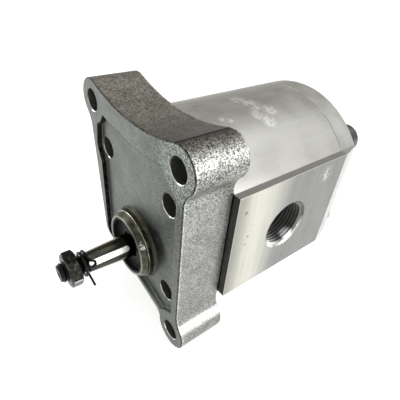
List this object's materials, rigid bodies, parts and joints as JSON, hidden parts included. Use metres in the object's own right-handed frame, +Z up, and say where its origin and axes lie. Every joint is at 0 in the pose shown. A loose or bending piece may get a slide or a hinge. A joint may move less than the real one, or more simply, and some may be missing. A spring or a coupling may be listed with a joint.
{
  "type": "hydraulic gear pump",
  "caption": "External gear pump with a cast three-ear mounting flange, pilot boss, short keyed taper shaft with nut, and a screwed port in each flat side.",
  "frame": {"origin": "centre of the bounding box in x and y, at the lowest point of the pump", "axes": "the drive shaft points along -Y and the body runs along +Y, +X is the inlet port side, +Z is up"},
  "size_m": [0.0919, 0.1644, 0.1168],
  "materials": {
    "cast_aluminium": "grey sandblasted casting, fine grain",
    "extruded_aluminium": "pale satin machined aluminium",
    "end_plate_aluminium": "satin grey, fine milling",
    "dark_shaft_steel": "dark oiled ground steel",
    "ground_steel": "ground",
    "bright_key_steel": "bright drawn steel",
    "blackened_steel": "black oxide",
    "bolt_steel": "dark oxide steel",
    "bearing_aluminium": "machined",
    "bearing_bronze": "bronze bearing metal",
    "seal_rubber": "black nitrile rubber",
    "backup_plastic": "cream nylon"
  },
  "bodies": {
    "housing": {"front_cover": "cast_aluminium", "pump_body": "extruded_aluminium", "rear_cover": "end_plate_aluminium", "front_bearing_block": "bearing_aluminium", "rear_bearing_block": "bearing_aluminium", "front_body_seal": "seal_rubber", "rear_body_seal": "seal_rubber", "front_pressure_seal": "seal_rubber", "rear_pressure_seal": "seal_rubber", "front_backup_ring": "backup_plastic", "rear_backup_ring": "backup_plastic", "shaft_seal": "seal_rubber", "seal_spring": "ground_steel", "bush_1": "bearing_bronze", "tie_bolt_1": "bolt_steel", "bolt_washer_1": "bolt_steel", "dowel_1": "ground_steel", "bush_2": "bearing_bronze", "tie_bolt_2": "bolt_steel", "bolt_washer_2": "bolt_steel", "dowel_2": "ground_steel", "bush_3": "bearing_bronze", "tie_bolt_3": "bolt_steel", "bolt_washer_3": "bolt_steel", "dowel_3": "ground_steel", "bush_4": "bearing_bronze", "tie_bolt_4": "bolt_steel", "bolt_washer_4": "bolt_steel", "dowel_4": "ground_steel"},
    "drive_shaft": {"drive_gear": "dark_shaft_steel", "shaft_key": "bright_key_steel", "shaft_nut": "blackened_steel", "spring_washer": "blackened_steel", "key_wire": "blackened_steel"},
    "driven_gear": {"driven_gear": "ground_steel"}
  },
  "joints": [
    {"name": "drive_shaft_spin", "type": "hinge", "parent": "housing", "child": "drive_shaft", "pos_m": [0, 0.0196, 0.0428], "axis": [0, 1, 0], "continuous": true},
    {"name": "driven_gear_spin", "type": "hinge", "parent": "housing", "child": "driven_gear", "pos_m": [0, 0.0196, 0.074], "axis": [0, 1, 0], "continuous": true}
  ],
  "couplings": [
    {"joint": "driven_gear_spin", "follows": "drive_shaft_spin", "ratio": -1}
  ]
}
